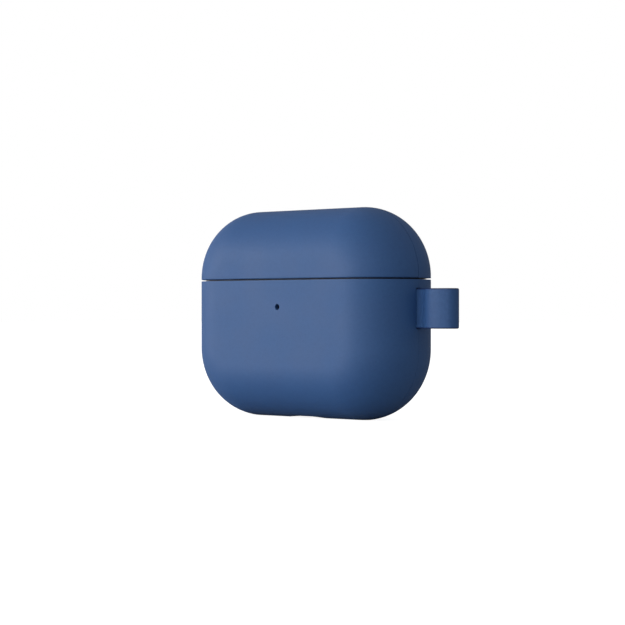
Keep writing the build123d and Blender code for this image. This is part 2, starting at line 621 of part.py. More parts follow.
with BuildPart() as coil_ferrite:
    with BuildSketch(rear_plane(0, FERRITE_Y[0], COIL_Z)):
        Circle(FERRITE_RADIUS)
        Circle(FERRITE_HOLE, mode=Mode.SUBTRACT)
    extrude(amount=FERRITE_Y[1] - FERRITE_Y[0])
keep(coil_ferrite, "coil_ferrite")

with BuildPart() as coil_leads:
    lead_z = COIL_Z - FERRITE_RADIUS - 2 * LEAD_RADIUS
    for x in COIL_LEAD_X:
        add(rod(rear_plane(x, BOARD_REAR, lead_z), LEAD_RADIUS, COIL_Y[1] - BOARD_REAR))
keep(coil_leads, "coil_leads")

# ---- Pairing button on the rear, and the switch that it presses ----
with BuildPart() as pairing_button:
    with BuildSketch(rear_plane(0, BUTTON_FLANGE_Y[0], COIL_Z)):
        Circle(BUTTON_FLANGE_RADIUS)
    extrude(amount=BUTTON_FLANGE_Y[1] - BUTTON_FLANGE_Y[0])
    add(rod(rear_plane(0, BUTTON_FLANGE_Y[1], COIL_Z), BUTTON_RADIUS, BUTTON_FACE - BUTTON_FLANGE_Y[1]))
    fillet(pairing_button.faces().sort_by(Axis.Y)[-1].edges(), BUTTON_ROUND)
    stem_length = BUTTON_FLANGE_Y[0] - BUTTON_STEM_END
    add(rod(rear_plane(0, BUTTON_STEM_END, COIL_Z), BUTTON_STEM_RADIUS, stem_length))
keep(pairing_button, "pairing_button")

with BuildPart() as pairing_switch:
    switch_z = (COIL_Z - SWITCH_HALF, COIL_Z + SWITCH_HALF)
    add(block((-SWITCH_HALF, SWITCH_HALF), (BOARD_REAR, SWITCH_CASE), switch_z))
    add(rod(rear_plane(0, SWITCH_CASE, COIL_Z), SWITCH_NUB_RADIUS, SWITCH_NUB - SWITCH_CASE))
keep(pairing_switch, "pairing_switch")

# ---- Charging contacts at the foot of each well ----
for side, name in ((-1, "left"), (1, "right")):
    with BuildPart() as contact_board:
        with BuildSketch(Plane.XY.offset(CONTACT_BARREL_LOW)):
            with Locations((side * STEM_X, STEM_Y)):
                RectangleRounded(CONTACT_BOARD_LENGTH, CONTACT_BOARD_WIDTH, CONTACT_BOARD_CORNER)
        extrude(amount=-CONTACT_BOARD_THICKNESS)
    keep(contact_board, f"contact_board_{name}")

    with BuildPart() as contact_barrels:
        add(contact_rods(side, CONTACT_BARREL_RADIUS, CONTACT_BARREL_LOW, CONTACT_BARREL_TOP))
        bore = contact_rods(side, CONTACT_BORE, CONTACT_BORE_LOW, CONTACT_BARREL_TOP + PAST)
        add(bore, mode=Mode.SUBTRACT)
    keep(contact_barrels, f"contact_barrels_{name}")

    with BuildPart() as contact_pins:
        add(contact_rods(side, PLUNGER_RADIUS, PLUNGER_LOW, PLUNGER_TIP))
        fillet(contact_pins.edges().group_by(Axis.Z)[-1], PLUNGER_ROUND)
    keep(contact_pins, f"contact_pins_{name}")

    with BuildPart() as earbud_magnet:
        foot = Plane(origin=(side * EARBUD_MAGNET_X, EARBUD_MAGNET_Y, EARBUD_MAGNET_Z[0]))
        add(rod(foot, EARBUD_MAGNET_RADIUS, EARBUD_MAGNET_Z[1] - EARBUD_MAGNET_Z[0]))
    keep(earbud_magnet, f"earbud_magnet_{name}")

# ---- Magnets that hold the lid shut, and the one that tells the sensor it is shut ----
for zone, span in (("body", BODY_LATCH_Z), ("lid", LID_LATCH_Z)):
    with BuildPart() as latch_magnet:
        add(block((-LATCH_HALF, LATCH_HALF), LATCH_Y, span))
    keep(latch_magnet, f"latch_magnet_{zone}")

with BuildPart() as sensor_magnet:
    foot = Plane(origin=(0, SENSOR_MAGNET_Y, SENSOR_MAGNET_Z[0]))
    add(rod(foot, SENSOR_MAGNET_RADIUS, SENSOR_MAGNET_Z[1] - SENSOR_MAGNET_Z[0]))
keep(sensor_magnet, "sensor_magnet")
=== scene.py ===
"""Looks for a wireless earbuds case in its fitted cover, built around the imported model."""
import json
import math
from functools import cache

import bpy
from bpy.props import FloatProperty, FloatVectorProperty, PointerProperty
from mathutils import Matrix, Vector


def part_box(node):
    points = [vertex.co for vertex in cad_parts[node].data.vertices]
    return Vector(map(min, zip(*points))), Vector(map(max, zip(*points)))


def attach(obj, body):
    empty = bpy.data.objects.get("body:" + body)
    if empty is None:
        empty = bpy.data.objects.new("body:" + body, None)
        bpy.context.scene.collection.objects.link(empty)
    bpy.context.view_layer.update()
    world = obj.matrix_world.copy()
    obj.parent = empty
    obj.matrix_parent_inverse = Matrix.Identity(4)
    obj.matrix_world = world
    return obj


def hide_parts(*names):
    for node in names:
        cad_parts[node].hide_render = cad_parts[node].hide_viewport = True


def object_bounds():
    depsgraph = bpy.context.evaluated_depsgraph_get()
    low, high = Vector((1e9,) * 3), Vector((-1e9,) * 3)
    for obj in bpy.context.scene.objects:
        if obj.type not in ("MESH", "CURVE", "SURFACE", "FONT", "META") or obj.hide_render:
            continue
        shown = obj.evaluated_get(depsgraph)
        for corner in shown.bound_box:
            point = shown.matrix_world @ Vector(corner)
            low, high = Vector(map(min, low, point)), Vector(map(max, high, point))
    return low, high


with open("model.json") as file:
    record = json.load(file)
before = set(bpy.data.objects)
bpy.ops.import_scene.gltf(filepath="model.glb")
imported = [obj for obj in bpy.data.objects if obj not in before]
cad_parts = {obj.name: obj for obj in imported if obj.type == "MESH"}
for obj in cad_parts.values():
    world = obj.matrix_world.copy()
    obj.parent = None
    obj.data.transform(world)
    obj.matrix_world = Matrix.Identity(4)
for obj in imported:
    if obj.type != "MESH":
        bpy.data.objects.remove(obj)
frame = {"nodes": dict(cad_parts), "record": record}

bl_info = {
    "name": "Earbuds case in a fitted cover",
    "version": (1, 0, 0),
    "blender": (4, 5, 0),
    "location": "3D View > Sidebar > Earbuds Case",
    "description": "Builds the cover, strap, inner case finishes and studio of a wireless earbuds case",
    "category": "Object",
}

MM = 0.001
CAD_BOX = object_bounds()
WELD = 0.02 * MM

FRONT_LOW, FRONT_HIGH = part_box("cover_body_front_skin")
LID_LOW, LID_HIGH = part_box("cover_lid_front_skin")
STRAP_LOW, STRAP_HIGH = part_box("strap_loop")
PIPE_LOW, PIPE_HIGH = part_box("light_pipe")
BUTTON_LOW, BUTTON_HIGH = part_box("pairing_button")

RECORD = frame["record"]
SLOT_OF = {part["node"]: part["material_slot"] for part in RECORD["subparts"]}
BODY_OF = {node: body for body, nodes in RECORD["behaviour"]["bodies"].items() for node in nodes}

# CAD nodes whose own shapes are shown with smooth surfaces, by how they are made.
MOULDED = (
    "cover_body_frame",
    "cover_lid_frame",
    "case_body_shell",
    "case_lid_shell",
    "cradle",
    "lid_liner",
    "pairing_button",
    "socket_trim",
    "light_pipe",
)
HINGE = (
    "hinge_body_leaf",
    "hinge_lid_leaf",
    "hinge_pin",
    "hinge_spring",
    "hinge_screws_body",
    "hinge_screws_lid",
)
CONTACTS = (
    "contact_barrels_left",
    "contact_barrels_right",
    "contact_pins_left",
    "contact_pins_right",
    "socket_shell",
    "socket_tongue",
    "socket_contacts",
)

HALF_WIDTH = FRONT_HIGH.x
HALF_DEPTH = -FRONT_LOW.y
TOP = LID_HIGH.z
BODY_RIM, LID_RIM = FRONT_HIGH.z, LID_LOW.z
SIDE_GAP = -FRONT_HIGH.y
STRAP_MIDDLE = (STRAP_LOW.z + STRAP_HIGH.z) / 2
LIGHT_CENTRE = (PIPE_LOW + PIPE_HIGH) / 2
BUTTON_CENTRE = (BUTTON_LOW + BUTTON_HIGH) / 2

# Modelling steps and margins.
ROUND_STEPS = 28            # segments in each rounding of the cover's form
HOLE_STEPS = 64
PORT_STEPS = 48
WINDOW_STEPS = 8
FACE_MARGIN = 0.4 * MM      # inset that keeps the flat faces flat beside the rounding
HOLE_CUT = 6 * MM           # length of the bars that cut the round holes
PORT_CUT = 3 * MM           # how far the port's cutter reaches up and down
WINDOW_CUT_IN, WINDOW_CUT_OUT = 4.5 * MM, 4 * MM
STRAP_CUT_IN, STRAP_CUT_OUT = 2.4 * MM, 2 * MM
STRAP_SIDE_ROOM, STRAP_END_ROOM = 0.08 * MM, 0.12 * MM

# How much of the rim's rounding each other edge of a skin gets.
FRONT_SEAM_SHARE, REAR_SEAM_SHARE = 0.4, 1.1
HOLE_SHARE, FOOT_SHARE = 0.7, 0.3

# The strap's loop: how far each long side of its end turns in, and its steps.
CROWN_TURN = math.radians(28)
TIP_STEPS, ARC_STEPS, TAIL_STEPS = 14, 10, 3
TAIL_HIDDEN = 1.6 * MM      # length of each tail inside the cover

# Patterns in the materials.
NAP = 2.6                   # cells of the nap, in cells of the grain
SKIN_DULL, SKIN_CLEAR = (0.96, 0.96, 0.97, 1), (1.03, 1.03, 1.02, 1)
WAVE = 0.314                # a wave texture's scale for waves one unit long

# The camera looks level at the middle of the case, with the front to its left.
CAMERA_AIM = Vector((-0.06 * MM, -0.055 * MM, TOP / 2 + 0.2 * MM))
CAMERA_AZIMUTH, CAMERA_ELEVATION = 42.3, 0.034
CAMERA_DISTANCE = 442.9 * MM
CAMERA_LENS = 109.8

# Each soft box as its name, azimuth, elevation, distance, width, height and power.
SOFT_BOXES = (
    ("key_soft_box", -42, 1, 0.6, 0.66, 0.36, 4.8),
    ("wide_soft_box", 14, 4, 1.2, 0.8, 0.5, 3.2),
)
FILL_FRONT, FILL_BACK = 0.72, 0.3   # strength of the fill where it is strongest and weakest
FILL_AZIMUTH = -20
FLOOR_SIZE = 6.0
FLOOR_GLOW = 0.9


# ---------------------------------------------------------------- sizes and colours


def linear(code):
    """An sRGB hex code as linear red, green, blue and alpha."""
    parts = [int(code[i : i + 2], 16) / 255 for i in (0, 2, 4)]
    return (*[p / 12.92 if p <= 0.04045 else ((p + 0.055) / 1.055) ** 2.4 for p in parts], 1.0)


def length(name, description, millimetres):
    """A length that a user can change."""
    return FloatProperty(
        name=name, description=description, default=millimetres * MM, unit="LENGTH", precision=5
    )


def paint(name, description, code):
    """A colour that a user can change."""
    return FloatVectorProperty(
        name=name, description=description, default=linear(code), size=4, subtype="COLOR", min=0, max=1
    )


class CoverSizes(bpy.types.PropertyGroup):
    """Sizes of the cover and its strap."""

    top_radius: length("Top corners", "Radius of the two top corners", 15.8)
    bottom_radius: length("Bottom corners", "Radius of the two bottom corners", 16.1)
    foot: length("Foot", "Height of the round base that the flat foot takes off", 0.1)
    skin: length("Skin", "Thickness of the soft skin", 0.95)
    rim_round: length("Rim rounding", "Radius of the turned edge at the parting", 0.24)
    pinhole: length("Pinhole", "Radius of the status light's hole", 0.68)
    port_length: length("Port length", "Length of the opening in the base", 12.0)
    port_width: length("Port width", "Width of the opening in the base", 6.8)
    window_length: length("Hinge window length", "Length of the cut-out at the hinge", 50.4)
    window_height: length("Hinge window height", "Height of the cut-out at the hinge", 4.4)
    window_corner: length("Hinge window corners", "Corner radius of the cut-out at the hinge", 1.4)
    button_opening: length("Button opening", "Radius of the hole round the pairing button", 4.2)
    strap: length("Strap", "Thickness of the strap", 0.75)
    strap_half: length("Strap loop", "Outer half width of the loop where it is widest", 2.75)
    strap_widest: length("Strap shoulder", "Distance from the middle where the loop is widest", 37.8)
    strap_crown: length("Strap crown", "Outer radius of each long side of the loop's end", 7.3)
    strap_edge: length("Strap edge", "Radius of the strap's rounded edges", 0.33)
    grain: length("Grain", "Width of one cell of the skin's grain", 0.28)


class CaseColours(bpy.types.PropertyGroup):
    """Colours of the cover and of the case inside it."""

    skin: paint("Skin", "Soft skin of the cover", "284F81")
    skin_deep: paint("Skin, in the grain", "The skin's colour in the grain", "244A7C")
    strap_edge: paint("Strap edges", "Painted edges of the strap", "142A58")
    frame: paint("Frame", "Hard frame under the skins", "14203A")
    shell: paint("Shell", "Shell of the charging case", "1A2231")
    insert: paint("Insert", "Cradle and lid liner", "202937")
    steel: paint("Steel", "Hinge and spring", "C2C4C6")
    gold: paint("Gold", "Plating on the contacts", "E6BE6A")
    mask: paint("Solder mask", "Circuit boards", "17432E")
    copper: paint("Copper", "Charging coil", "C0703C")


# ---------------------------------------------------------------- modelling helpers


def clear_selection():
    """Nothing selected, in object mode."""
    if bpy.context.object and bpy.context.object.mode != "OBJECT":
        bpy.ops.object.mode_set(mode="OBJECT")
    bpy.ops.object.select_all(action="DESELECT")


def only(piece):
    """The piece is the one that the next operator acts on."""
    clear_selection()
    piece.select_set(True)
    bpy.context.view_layer.objects.active = piece


def named(name):
    """Names the primitive that has just been added, and its mesh."""
    piece = bpy.context.object
    piece.name = name
    piece.data.name = name
    return piece


def settle(piece):
    """Puts the piece's place, turn and size into its mesh."""
    only(piece)
    bpy.ops.object.transform_apply(location=True, rotation=True, scale=True)


def edit(piece, kind="VERT"):
    """Opens the piece in edit mode with nothing selected."""
    only(piece)
    bpy.ops.object.mode_set(mode="EDIT")
    bpy.ops.mesh.select_mode(type=kind)
    bpy.ops.mesh.select_all(action="DESELECT")


def pick(piece, test, kind="VERT"):
    """Selects in edit mode the vertices whose place passes a test, or edges or faces whose corners do."""
    edit(piece, kind)
    done()
    mesh = piece.data
    parts = {"VERT": mesh.vertices, "EDGE": mesh.edges, "FACE": mesh.polygons}[kind]
    for part in parts:
        if kind == "VERT":
            part.select = test(part.co)
        else:
            part.select = test(*[mesh.vertices[i].co for i in part.vertices])
    bpy.ops.object.mode_set(mode="EDIT")


def done():
    """Closes edit mode."""
    bpy.ops.object.mode_set(mode="OBJECT")


def modify(piece, kind, **settings):
    """Adds a modifier with its settings and applies it."""
    only(piece)
    modifier = piece.modifiers.new(kind.title(), kind)
    for key, value in settings.items():
        setattr(modifier, key, value)
    bpy.ops.object.modifier_apply(modifier=modifier.name)


def cut(piece, *cutters):
    """Takes each cutter out of the piece, and removes the cutter."""
    for cutter in cutters:
        modify(piece, "BOOLEAN", operation="DIFFERENCE", solver="MANIFOLD", object=cutter)
        bpy.data.objects.remove(cutter)


def round_edges(piece, width, share, segments=3):
    """Rounds the sharp edges, each by its share of the width, read from the edge's middle."""
    edit(piece, "EDGE")
    bpy.ops.mesh.edges_select_sharp(sharpness=math.radians(40))
    done()
    mesh = piece.data
    layers, key = mesh.attributes, "bevel_weight_edge"
    weights = layers.get(key) or layers.new(key, "FLOAT", "EDGE")
    for line in mesh.edges:
        middle = sum((mesh.vertices[i].co for i in line.vertices), Vector()) / 2
        weights.data[line.index].value = share(middle) if line.select else 0.0
    settings = {"limit_method": "WEIGHT", "use_clamp_overlap": True, "loop_slide": True}
    modify(piece, "BEVEL", width=width, segments=segments, **settings)


def smooth(piece, degrees=40):
    """Smooth shading, sharp only past an angle, with flat faces left flat."""
    only(piece)
    bpy.ops.object.shade_smooth_by_angle(angle=math.radians(degrees))
    modify(piece, "WEIGHTED_NORMAL", mode="FACE_AREA_WITH_ANGLE", keep_sharp=True)


def box_cutter(name, low, high):
    """A block between two corners."""
    clear_selection()
    middle = (Vector(low) + Vector(high)) / 2
    bpy.ops.mesh.primitive_cube_add(size=1, location=middle)
    piece = named(name)
    piece.scale = Vector(high) - Vector(low)
    settle(piece)
    return piece


def slot_cutter(name, overall, width, low, high):
    """An upright bar of slot section, round at both ends."""
    clear_selection()
    bpy.ops.mesh.primitive_cylinder_add(
        vertices=PORT_STEPS, radius=width / 2, depth=high - low, location=(0, 0, (low + high) / 2)
    )
    piece = named(name)
    settle(piece)
    for way in (-1, 1):
        pick(piece, lambda p: p.x * way > WELD)
        bpy.ops.transform.translate(value=(way * (overall - width) / 2, 0, 0))
        done()
    return piece


def hole_cutter(name, radius, place):
    """A round bar along Y."""
    clear_selection()
    bpy.ops.mesh.primitive_cylinder_add(
        vertices=HOLE_STEPS, radius=radius, depth=HOLE_CUT, location=place, rotation=(math.pi / 2, 0, 0)
    )
    piece = named(name)
    settle(piece)
    return piece


def window_cutter(sizes):
    """The bar with rounded corners that opens the cover at the hinge."""
    middle = (BODY_RIM + LID_RIM) / 2
    low = (-sizes.window_length / 2, HALF_DEPTH - WINDOW_CUT_IN, middle - sizes.window_height / 2)
    high = (sizes.window_length / 2, HALF_DEPTH + WINDOW_CUT_OUT, middle + sizes.window_height / 2)
    piece = box_cutter("window_cutter", low, high)
    pick(piece, lambda p, q: abs(p.y - q.y) > WELD, "EDGE")
    bpy.ops.mesh.bevel(offset=sizes.window_corner, segments=WINDOW_STEPS, clamp_overlap=False)
    done()
    return piece


def strap_cutter(sizes):
    """The opening at the side seam that the strap comes out of."""
    half_exit = sizes.strap + SIDE_GAP + STRAP_SIDE_ROOM
    half_height = (STRAP_HIGH.z - STRAP_LOW.z) / 2 + STRAP_END_ROOM
    low = (HALF_WIDTH - STRAP_CUT_IN, -half_exit, STRAP_MIDDLE - half_height)
    high = (HALF_WIDTH + STRAP_CUT_OUT, half_exit, STRAP_MIDDLE + half_height)
    return box_cutter("strap_cutter", low, high)


def full_round(name, inset, sizes):
    """The cover's full-round form, drawn in by a distance, as one closed surface."""
    low, high = inset - sizes.foot, TOP - inset
    half_width, half_depth = HALF_WIDTH - inset, HALF_DEPTH - inset
    piece = box_cutter(name, (-half_width, -half_depth, low), (half_width, half_depth, high))
    for level, radius in ((high, sizes.top_radius), (low, sizes.bottom_radius)):
        pick(piece, lambda p, q: abs(p.y - q.y) > WELD and abs(p.z - level) < WELD, "EDGE")
        bpy.ops.mesh.bevel(offset=radius - inset, segments=ROUND_STEPS, clamp_overlap=False)
        done()
    pick(piece, lambda p, q: abs(p.y - q.y) < WELD, "EDGE")
    bpy.ops.mesh.bevel(offset=half_depth - WELD / 4, segments=ROUND_STEPS, clamp_overlap=False)
    bpy.ops.mesh.select_all(action="SELECT")
    bpy.ops.mesh.remove_doubles(threshold=WELD)
    done()
    pick(piece, lambda *corners: all(abs(abs(p.y) - half_depth) < WELD / 4 for p in corners), "FACE")
    bpy.ops.mesh.inset(thickness=FACE_MARGIN)
    bpy.ops.mesh.select_all(action="SELECT")
    bpy.ops.mesh.normals_make_consistent(inside=False)
    done()
    return piece


def cover_skin(name, zone, way, sizes):
    """One of the four skins. Way is -1 for a front skin and 1 for a rear one."""
    piece = full_round(name, 0, sizes)
    cut(piece, full_round("inside", sizes.skin, sizes))
    wide, far = 2 * HALF_WIDTH, 2 * TOP
    rim, drop = (BODY_RIM, (BODY_RIM, far)) if zone == "body" else (LID_RIM, (-far, LID_RIM))
    cut(piece, box_cutter("beyond_rim", (-wide, -wide, drop[0]), (wide, wide, drop[1])))
    beyond = sorted((way * SIDE_GAP, -way * wide))
    cut(piece, box_cutter("beyond_seam", (-wide, beyond[0], -far), (wide, beyond[1], far)))
    if zone == "body":
        cut(piece, box_cutter("below_foot", (-wide, -wide, -far), (wide, wide, 0)))
        port = (sizes.port_length, sizes.port_width)
        cut(piece, slot_cutter("port_cutter", *port, -PORT_CUT, PORT_CUT), strap_cutter(sizes))
        if way < 0:
            cut(piece, hole_cutter("pinhole_cutter", sizes.pinhole, (0, -HALF_DEPTH, LIGHT_CENTRE.z)))
        else:
            place = (0, HALF_DEPTH, BUTTON_CENTRE.z)
            cut(piece, hole_cutter("button_cutter", sizes.button_opening, place))
    if way > 0:
        cut(piece, window_cutter(sizes))

    def share(middle):
        """Full at the rim, and another share at the seam, at the holes and at the foot."""
        if abs(middle.z - rim) < WELD:
            return 1.0
        if abs(middle.y - way * SIDE_GAP) < WELD:
            return FRONT_SEAM_SHARE if way < 0 else REAR_SEAM_SHARE
        return HOLE_SHARE if middle.z > WELD else FOOT_SHARE

    round_edges(piece, sizes.rim_round, share)
    smooth(piece)
    return piece


def strap_band(name, sizes):
    """The strap: its plan is drawn as one line of arcs, mirrored, raised, and given its thickness."""
    half = sizes.strap / 2
    crown, shoulder = sizes.strap_crown - half, sizes.strap_half - half
    lane = SIDE_GAP + half
    mouth = HALF_WIDTH + half
    run, rise = sizes.strap_widest - mouth, shoulder - lane
    bend = (run * run + rise * rise) / (4 * rise)
    turn = 2 * math.atan2(rise, run)
    tip_radius = crown - (crown - shoulder) / math.cos(CROWN_TURN)
    tip_centre = sizes.strap_widest + (crown - tip_radius) * math.sin(CROWN_TURN)
    clear_selection()
    bpy.ops.mesh.primitive_plane_add(size=MM, location=(tip_centre + tip_radius, 0, STRAP_LOW.z))
    piece = named(name)
    settle(piece)
    pick(piece, lambda p: True)
    bpy.ops.mesh.merge(type="CENTER")

    def arc(angle, about, steps):
        """Turns the last point to the left round a centre. Spin takes its axis the other way up."""
        place = (*about, STRAP_LOW.z)
        bpy.ops.mesh.spin(steps=steps, angle=angle, center=place, axis=(0, 0, -1), dupli=False)

    def straight(distance, steps):
        """Draws the last point out along X."""
        for _ in range(steps):
            bpy.ops.mesh.extrude_region_move(TRANSFORM_OT_translate={"value": (distance / steps, 0, 0)})

    arc(CROWN_TURN - math.pi / 2, (tip_centre, 0), TIP_STEPS)
    arc(-CROWN_TURN, (sizes.strap_widest, crown - shoulder), ARC_STEPS)
    arc(-turn, (sizes.strap_widest, bend - shoulder), ARC_STEPS)
    arc(turn, (mouth, -lane - bend), ARC_STEPS)
    straight(-TAIL_HIDDEN, TAIL_STEPS)
    done()
    modify(piece, "MIRROR", use_axis=(False, True, False), merge_threshold=WELD)
    pick(piece, lambda p: True)
    upward = (0, 0, STRAP_HIGH.z - STRAP_LOW.z)
    bpy.ops.mesh.extrude_region_move(TRANSFORM_OT_translate={"value": upward})
    bpy.ops.mesh.select_all(action="SELECT")
    bpy.ops.mesh.remove_doubles(threshold=WELD / 4)
    bpy.ops.mesh.normals_make_consistent(inside=False)
    done()
    modify(piece, "SOLIDIFY", thickness=sizes.strap, offset=0, use_even_offset=True)
    round_edges(piece, sizes.strap_edge, lambda middle: 1.0, segments=4)
    smooth(piece)
    return piece


# ---------------------------------------------------------------- material helpers


def add_node(tree, kind, inputs=None, **settings):
    """Adds a node with its settings. Each input takes a value or another node's output."""
    node = tree.nodes.new(kind)
    for key, value in settings.items():
        setattr(node, key, value)
    for key, value in (inputs or {}).items():
        if isinstance(value, bpy.types.NodeSocket):
            tree.links.new(value, node.inputs[key])
        else:
            node.inputs[key].default_value = value
    return node


def start(name, stretch=(1, 1, 1)):
    """An empty material, and the place on the piece that its pattern reads, squeezed along each axis."""
    material = bpy.data.materials.new(name)
    material.use_nodes = True
    tree = material.node_tree
    tree.nodes.clear()
    place = add_node(tree, "ShaderNodeTexCoord").outputs["Object"]
    if stretch != (1, 1, 1):
        place = add_node(tree, "ShaderNodeMapping", {"Vector": place, "Scale": stretch}).outputs[0]
    return material, tree, place


def cloudy(tree, place, cell, detail=2.0):
    """A cloudy pattern whose cells are a given width, spread out to run from 0 to 1."""
    inputs = {"Vector": place, "Scale": 1 / cell, "Detail": detail}
    cloud = add_node(tree, "ShaderNodeTexNoise", inputs).outputs["Fac"]
    spread = {"Value": cloud, "From Min": 0.3, "From Max": 0.7}
    return add_node(tree, "ShaderNodeMapRange", spread).outputs[0]


def finish(tree, share, tones, roughness, height, depth, **uniform):
    """Joins a pattern to the shader: its share runs from the first tone and roughness to the second.

    The height gives the relief, which is as deep as the depth. Uniform values go straight to the shader.
    """
    blend = {"Fac": share, "Color1": tones[0], "Color2": tones[1]}
    spread = {"Value": share, "To Min": roughness[0], "To Max": roughness[1]}
    inputs = {
        "Base Color": add_node(tree, "ShaderNodeMixRGB", blend).outputs[0],
        "Roughness": add_node(tree, "ShaderNodeMapRange", spread).outputs[0],
        "Normal": add_node(tree, "ShaderNodeBump", {"Height": height, "Distance": depth}).outputs[0],
    }
    for key, value in uniform.items():
        inputs[key.replace("_", " ")] = value
    shader = add_node(tree, "ShaderNodeBsdfPrincipled", inputs)
    add_node(tree, "ShaderNodeOutputMaterial", {"Surface": shader.outputs[0]})


# ---------------------------------------------------------------- the cover's materials


def coated_microfibre(sizes, colours):
    """Polyurethane-coated microfibre: smooth and matt, with pores too fine to see one by one.

    The coat gives a broad soft shine. A faint nap under it shows as grain and as slow changes of tone.
    The pores are drawn three times their real width, so that they still show as a grain.
    """
    material, tree, place = start("Microfibre, polyurethane coated")
    pores = add_node(tree, "ShaderNodeTexVoronoi", {"Vector": place, "Scale": 1 / sizes.grain})
    nap = cloudy(tree, place, sizes.grain * NAP)
    tone = cloudy(tree, place, 9 * MM, detail=3.0)
    depths = {0: pores.outputs["Distance"], 1: nap}
    grain = add_node(tree, "ShaderNodeMath", depths, operation="MULTIPLY").outputs[0]
    height = add_node(tree, "ShaderNodeMath", {0: grain, 1: nap}, operation="ADD").outputs[0]
    coat = {"Fac": grain, "Color1": colours.skin, "Color2": colours.skin_deep}
    shade = add_node(tree, "ShaderNodeMixRGB", coat).outputs[0]
    tones = []
    for tint in (SKIN_DULL, SKIN_CLEAR):
        tinted = {"Fac": 1.0, "Color1": shade, "Color2": tint}
        tones.append(add_node(tree, "ShaderNodeMixRGB", tinted, blend_type="MULTIPLY").outputs[0])
    finish(tree, tone, tones, (0.6, 0.66), height, 0.006 * MM, IOR=1.45, Specular_IOR_Level=0.5)
    return material


def strap_microfibre(sizes, colours):
    """The same microfibre as a folded band: its cut edges are painted darker and a little glossier."""
    material, tree, place = start("Microfibre band with painted edges")
    nap = cloudy(tree, place, sizes.grain * NAP)
    height = add_node(tree, "ShaderNodeSeparateXYZ", {"Vector": place}).outputs["Z"]
    offset = {0: height, 1: STRAP_MIDDLE}
    middle = add_node(tree, "ShaderNodeMath", offset, operation="SUBTRACT").outputs[0]
    reach = add_node(tree, "ShaderNodeMath", {0: middle}, operation="ABSOLUTE").outputs[0]
    painted = {
        "Value": reach,
        "From Min": (STRAP_HIGH.z - STRAP_LOW.z) / 2 - sizes.strap_edge * 1.2,
        "From Max": (STRAP_HIGH.z - STRAP_LOW.z) / 2 - sizes.strap_edge * 0.4,
    }
    edge = add_node(tree, "ShaderNodeMapRange", painted).outputs[0]
    coat = {"Fac": nap, "Color1": colours.skin, "Color2": colours.skin_deep}
    tones = (add_node(tree, "ShaderNodeMixRGB", coat).outputs[0], colours.strap_edge)
    finish(tree, edge, tones, (0.62, 0.5), nap, 0.008 * MM, IOR=1.45, Specular_IOR_Level=0.5)
    return material


def cover_polycarbonate(sizes, colours):
    """Polycarbonate, injection moulded in a spark-eroded tool: a fine even matt on a dark blue."""
    material, tree, place = start("Polycarbonate, moulded, spark-eroded texture")
    pits = cloudy(tree, place, 0.12 * MM)
    tones = (colours.frame, linear("1C2B4A"))
    finish(tree, pits, tones, (0.5, 0.62), pits, 0.004 * MM, IOR=1.58)
    return material


# ---------------------------------------------------------------- the charging case's materials


def shell_polycarbonate(sizes, colours):
    """Polycarbonate and ABS, moulded and polished: a soft gloss with slow waves and hairline rubs."""
    material, tree, place = start("Polycarbonate ABS, moulded, satin polish")
    rubs = cloudy(tree, place, 0.5 * MM, detail=6.0)
    tones = (colours.shell, linear("232D40"))
    finish(tree, rubs, tones, (0.26, 0.38), rubs, 0.001 * MM, IOR=1.55)
    return material


def insert_abs(sizes, colours):
    """ABS, moulded in an etched tool: a fine leathery matt that hides the earbuds' rub marks."""
    material, tree, place = start("ABS, moulded, etched texture")
    cells = add_node(tree, "ShaderNodeTexVoronoi", {"Vector": place, "Scale": 1 / (0.22 * MM)})
    rubs = cloudy(tree, place, 3 * MM, detail=4.0)
    tones = (colours.insert, linear("2A3446"))
    finish(tree, rubs, tones, (0.4, 0.52), cells.outputs["Distance"], 0.006 * MM, IOR=1.53)
    return material


def button_abs(sizes, colours):
    """ABS, moulded, with turned rings left by the tool: fine circles that catch the light."""
    material, tree, place = start("ABS, moulded, tool-turned face")
    centred = add_node(tree, "ShaderNodeMapping", {"Vector": place, "Location": -BUTTON_CENTRE})
    rings = add_node(
        tree, "ShaderNodeTexWave", {"Vector": centred.outputs[0], "Scale": WAVE / (0.14 * MM)},
        wave_type="RINGS", rings_direction="Y",
    ).outputs["Fac"]
    tones = (colours.shell, linear("2A3548"))
    finish(tree, rings, tones, (0.3, 0.36), rings, 0.003 * MM, IOR=1.53)
    return material


def hinge_steel(sizes, colours):
    """Stainless steel strip, brushed along its length: short bright and dull streaks along X."""
    material, tree, place = start("Stainless steel, brushed", stretch=(0.03, 1, 1))
    streaks = cloudy(tree, place, 0.07 * MM, detail=4.0)
    tones = (linear("A9ABAE"), colours.steel)
    finish(tree, streaks, tones, (0.26, 0.42), streaks, 0.0015 * MM, Metallic=1.0)
    return material


def spring_steel(sizes, colours):
    """Drawn spring steel wire, oil tempered: dark, smooth and slightly uneven in tone."""
    material, tree, place = start("Spring steel wire, oil tempered")
    tone = cloudy(tree, place, 0.6 * MM, detail=3.0)
    tones = (linear("77797C"), linear("96989B"))
    finish(tree, tone, tones, (0.25, 0.35), tone, 0.001 * MM, Metallic=1.0)
    return material


def screw_steel(sizes, colours):
    """Carbon steel, cold headed and zinc-nickel plated: a grey, slightly grainy shine."""
    material, tree, place = start("Carbon steel, zinc-nickel plated")
    grains = cloudy(tree, place, 0.09 * MM)
    tones = (linear("85878B"), linear("A2A4A7"))
    finish(tree, grains, tones, (0.3, 0.42), grains, 0.002 * MM, Metallic=1.0)
    return material


def contact_gold(sizes, colours):
    """Brass, turned and gold plated: warm, bright, with fine turning lines round the pin."""
    material, tree, place = start("Brass, turned, gold plated", stretch=(1, 1, 8))
    lines = cloudy(tree, place, 0.2 * MM)
    tones = (linear("D9AE57"), colours.gold)
    finish(tree, lines, tones, (0.14, 0.24), lines, 0.001 * MM, Metallic=1.0)
    return material


